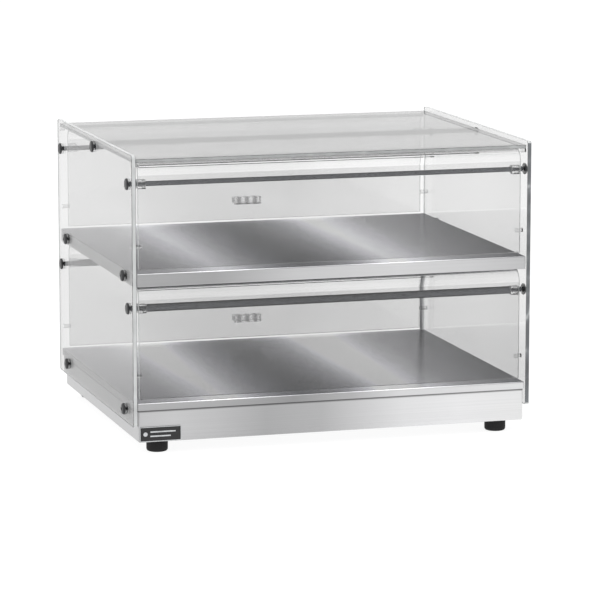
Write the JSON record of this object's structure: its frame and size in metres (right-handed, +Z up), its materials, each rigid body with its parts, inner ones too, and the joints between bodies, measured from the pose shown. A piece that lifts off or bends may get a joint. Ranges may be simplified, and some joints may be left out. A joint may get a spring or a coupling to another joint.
{
  "type": "hot food display case",
  "caption": "Two-tier clear-walled heated countertop display case with polished steel floors and flaps that swing up on steel rods.",
  "frame": {"origin": "on the ground under the middle of the case, midway between the front edges of the side panels and the face of the thermostat knob", "axes": "+X to the right seen from the customer side, +Y towards the operator side where the controls are, +Z up"},
  "size_m": [0.5076, 0.402, 0.36],
  "materials": {
    "badge_black": "black printed plate, blank",
    "heater_silicone": "silicone rubber heater mat",
    "lead_grey": "glass-braid lead",
    "brushed_stainless": "brushed stainless steel",
    "control_black": "black moulded plastic",
    "polished_stainless": "polished stainless steel",
    "clear_acrylic": "clear cast acrylic sheet, polished edges",
    "foot_rubber": "black moulded rubber",
    "amber_lens": "amber translucent polycarbonate",
    "black_fittings": "black moulded nylon, satin",
    "rod_steel": "bright drawn stainless bar",
    "copper": "drawn copper",
    "lead_dark": "silicone-sheathed lead",
    "terminal_plastic": "moulded polyamide",
    "thermostat_casing": "moulded phenolic",
    "spindle_steel": "turned steel"
  },
  "bodies": {
    "case": {"badge_plate": "badge_black", "base_heater": "heater_silicone", "base_heater_leads": "lead_grey", "base_housing": "brushed_stainless", "bottom_cover": "brushed_stainless", "cord_gland": "control_black", "deck_plate": "polished_stainless", "foot_front_left": "foot_rubber", "foot_front_right": "foot_rubber", "foot_rear_left": "foot_rubber", "foot_rear_right": "foot_rubber", "pilot_lamp": "amber_lens", "rod_cap_front_lower_left": "black_fittings", "rod_cap_front_lower_right": "black_fittings", "rod_cap_front_upper_left": "black_fittings", "rod_cap_front_upper_right": "black_fittings", "rod_cap_rear_lower_left": "black_fittings", "rod_cap_rear_lower_right": "black_fittings", "rod_cap_rear_upper_left": "black_fittings", "rod_cap_rear_upper_right": "black_fittings", "rod_cap_roof_left": "black_fittings", "rod_cap_roof_right": "black_fittings", "rod_front_lower": "rod_steel", "rod_front_upper": "rod_steel", "rod_rear_lower": "rod_steel", "rod_rear_upper": "rod_steel", "rod_roof": "rod_steel", "roof_panel": "clear_acrylic", "screw_base_front_left": "black_fittings", "screw_base_front_right": "black_fittings", "screw_base_rear_left": "black_fittings", "screw_base_rear_right": "black_fittings", "screw_shelf_front_left": "black_fittings", "screw_shelf_front_right": "black_fittings", "screw_shelf_rear_left": "black_fittings", "screw_shelf_rear_right": "black_fittings", "sensor_bulb": "copper", "shelf_conduit": "brushed_stainless", "shelf_heater": "heater_silicone", "shelf_heater_leads": "lead_grey", "shelf_pan": "polished_stainless", "shelf_underside": "brushed_stainless", "side_panel_left": "clear_acrylic", "side_panel_right": "clear_acrylic", "supply_leads": "lead_dark", "switch_body": "control_black", "switch_leads": "lead_dark", "terminal_block": "terminal_plastic", "thermostat_body": "thermostat_casing"},
    "flap_front_upper": {"flap_front_upper": "clear_acrylic"},
    "flap_front_lower": {"flap_front_lower": "clear_acrylic", "sleeve_front_lower": "rod_steel"},
    "flap_rear_upper": {"flap_rear_upper": "clear_acrylic", "pull_upper": "clear_acrylic"},
    "flap_rear_lower": {"flap_rear_lower": "clear_acrylic", "pull_lower": "clear_acrylic", "sleeve_rear_lower": "rod_steel"},
    "thermostat_knob": {"thermostat_knob": "control_black", "thermostat_spindle": "spindle_steel"},
    "switch_rocker": {"switch_rocker": "control_black"}
  },
  "joints": [
    {"name": "front_upper_flap_hinge", "type": "hinge", "parent": "case", "child": "flap_front_upper", "pos_m": [0, -0.181, 0.324], "axis": [-1, 0, 0], "range_deg": [0, 110]},
    {"name": "front_lower_flap_hinge", "type": "hinge", "parent": "case", "child": "flap_front_lower", "pos_m": [0, -0.181, 0.175], "axis": [-1, 0, 0], "range_deg": [0, 110]},
    {"name": "rear_upper_flap_hinge", "type": "hinge", "parent": "case", "child": "flap_rear_upper", "pos_m": [0, 0.174, 0.324], "axis": [1, 0, 0], "range_deg": [0, 110]},
    {"name": "rear_lower_flap_hinge", "type": "hinge", "parent": "case", "child": "flap_rear_lower", "pos_m": [0, 0.174, 0.175], "axis": [1, 0, 0], "range_deg": [0, 110]},
    {"name": "thermostat_turn", "type": "hinge", "parent": "case", "child": "thermostat_knob", "pos_m": [-0.15, 0.1865, 0.035], "axis": [0, -1, 0], "range_deg": [0, 270]},
    {"name": "switch_rock", "type": "hinge", "parent": "case", "child": "switch_rocker", "pos_m": [-0.078, 0.1865, 0.035], "axis": [-1, 0, 0], "range_deg": [0, 16]}
  ]
}
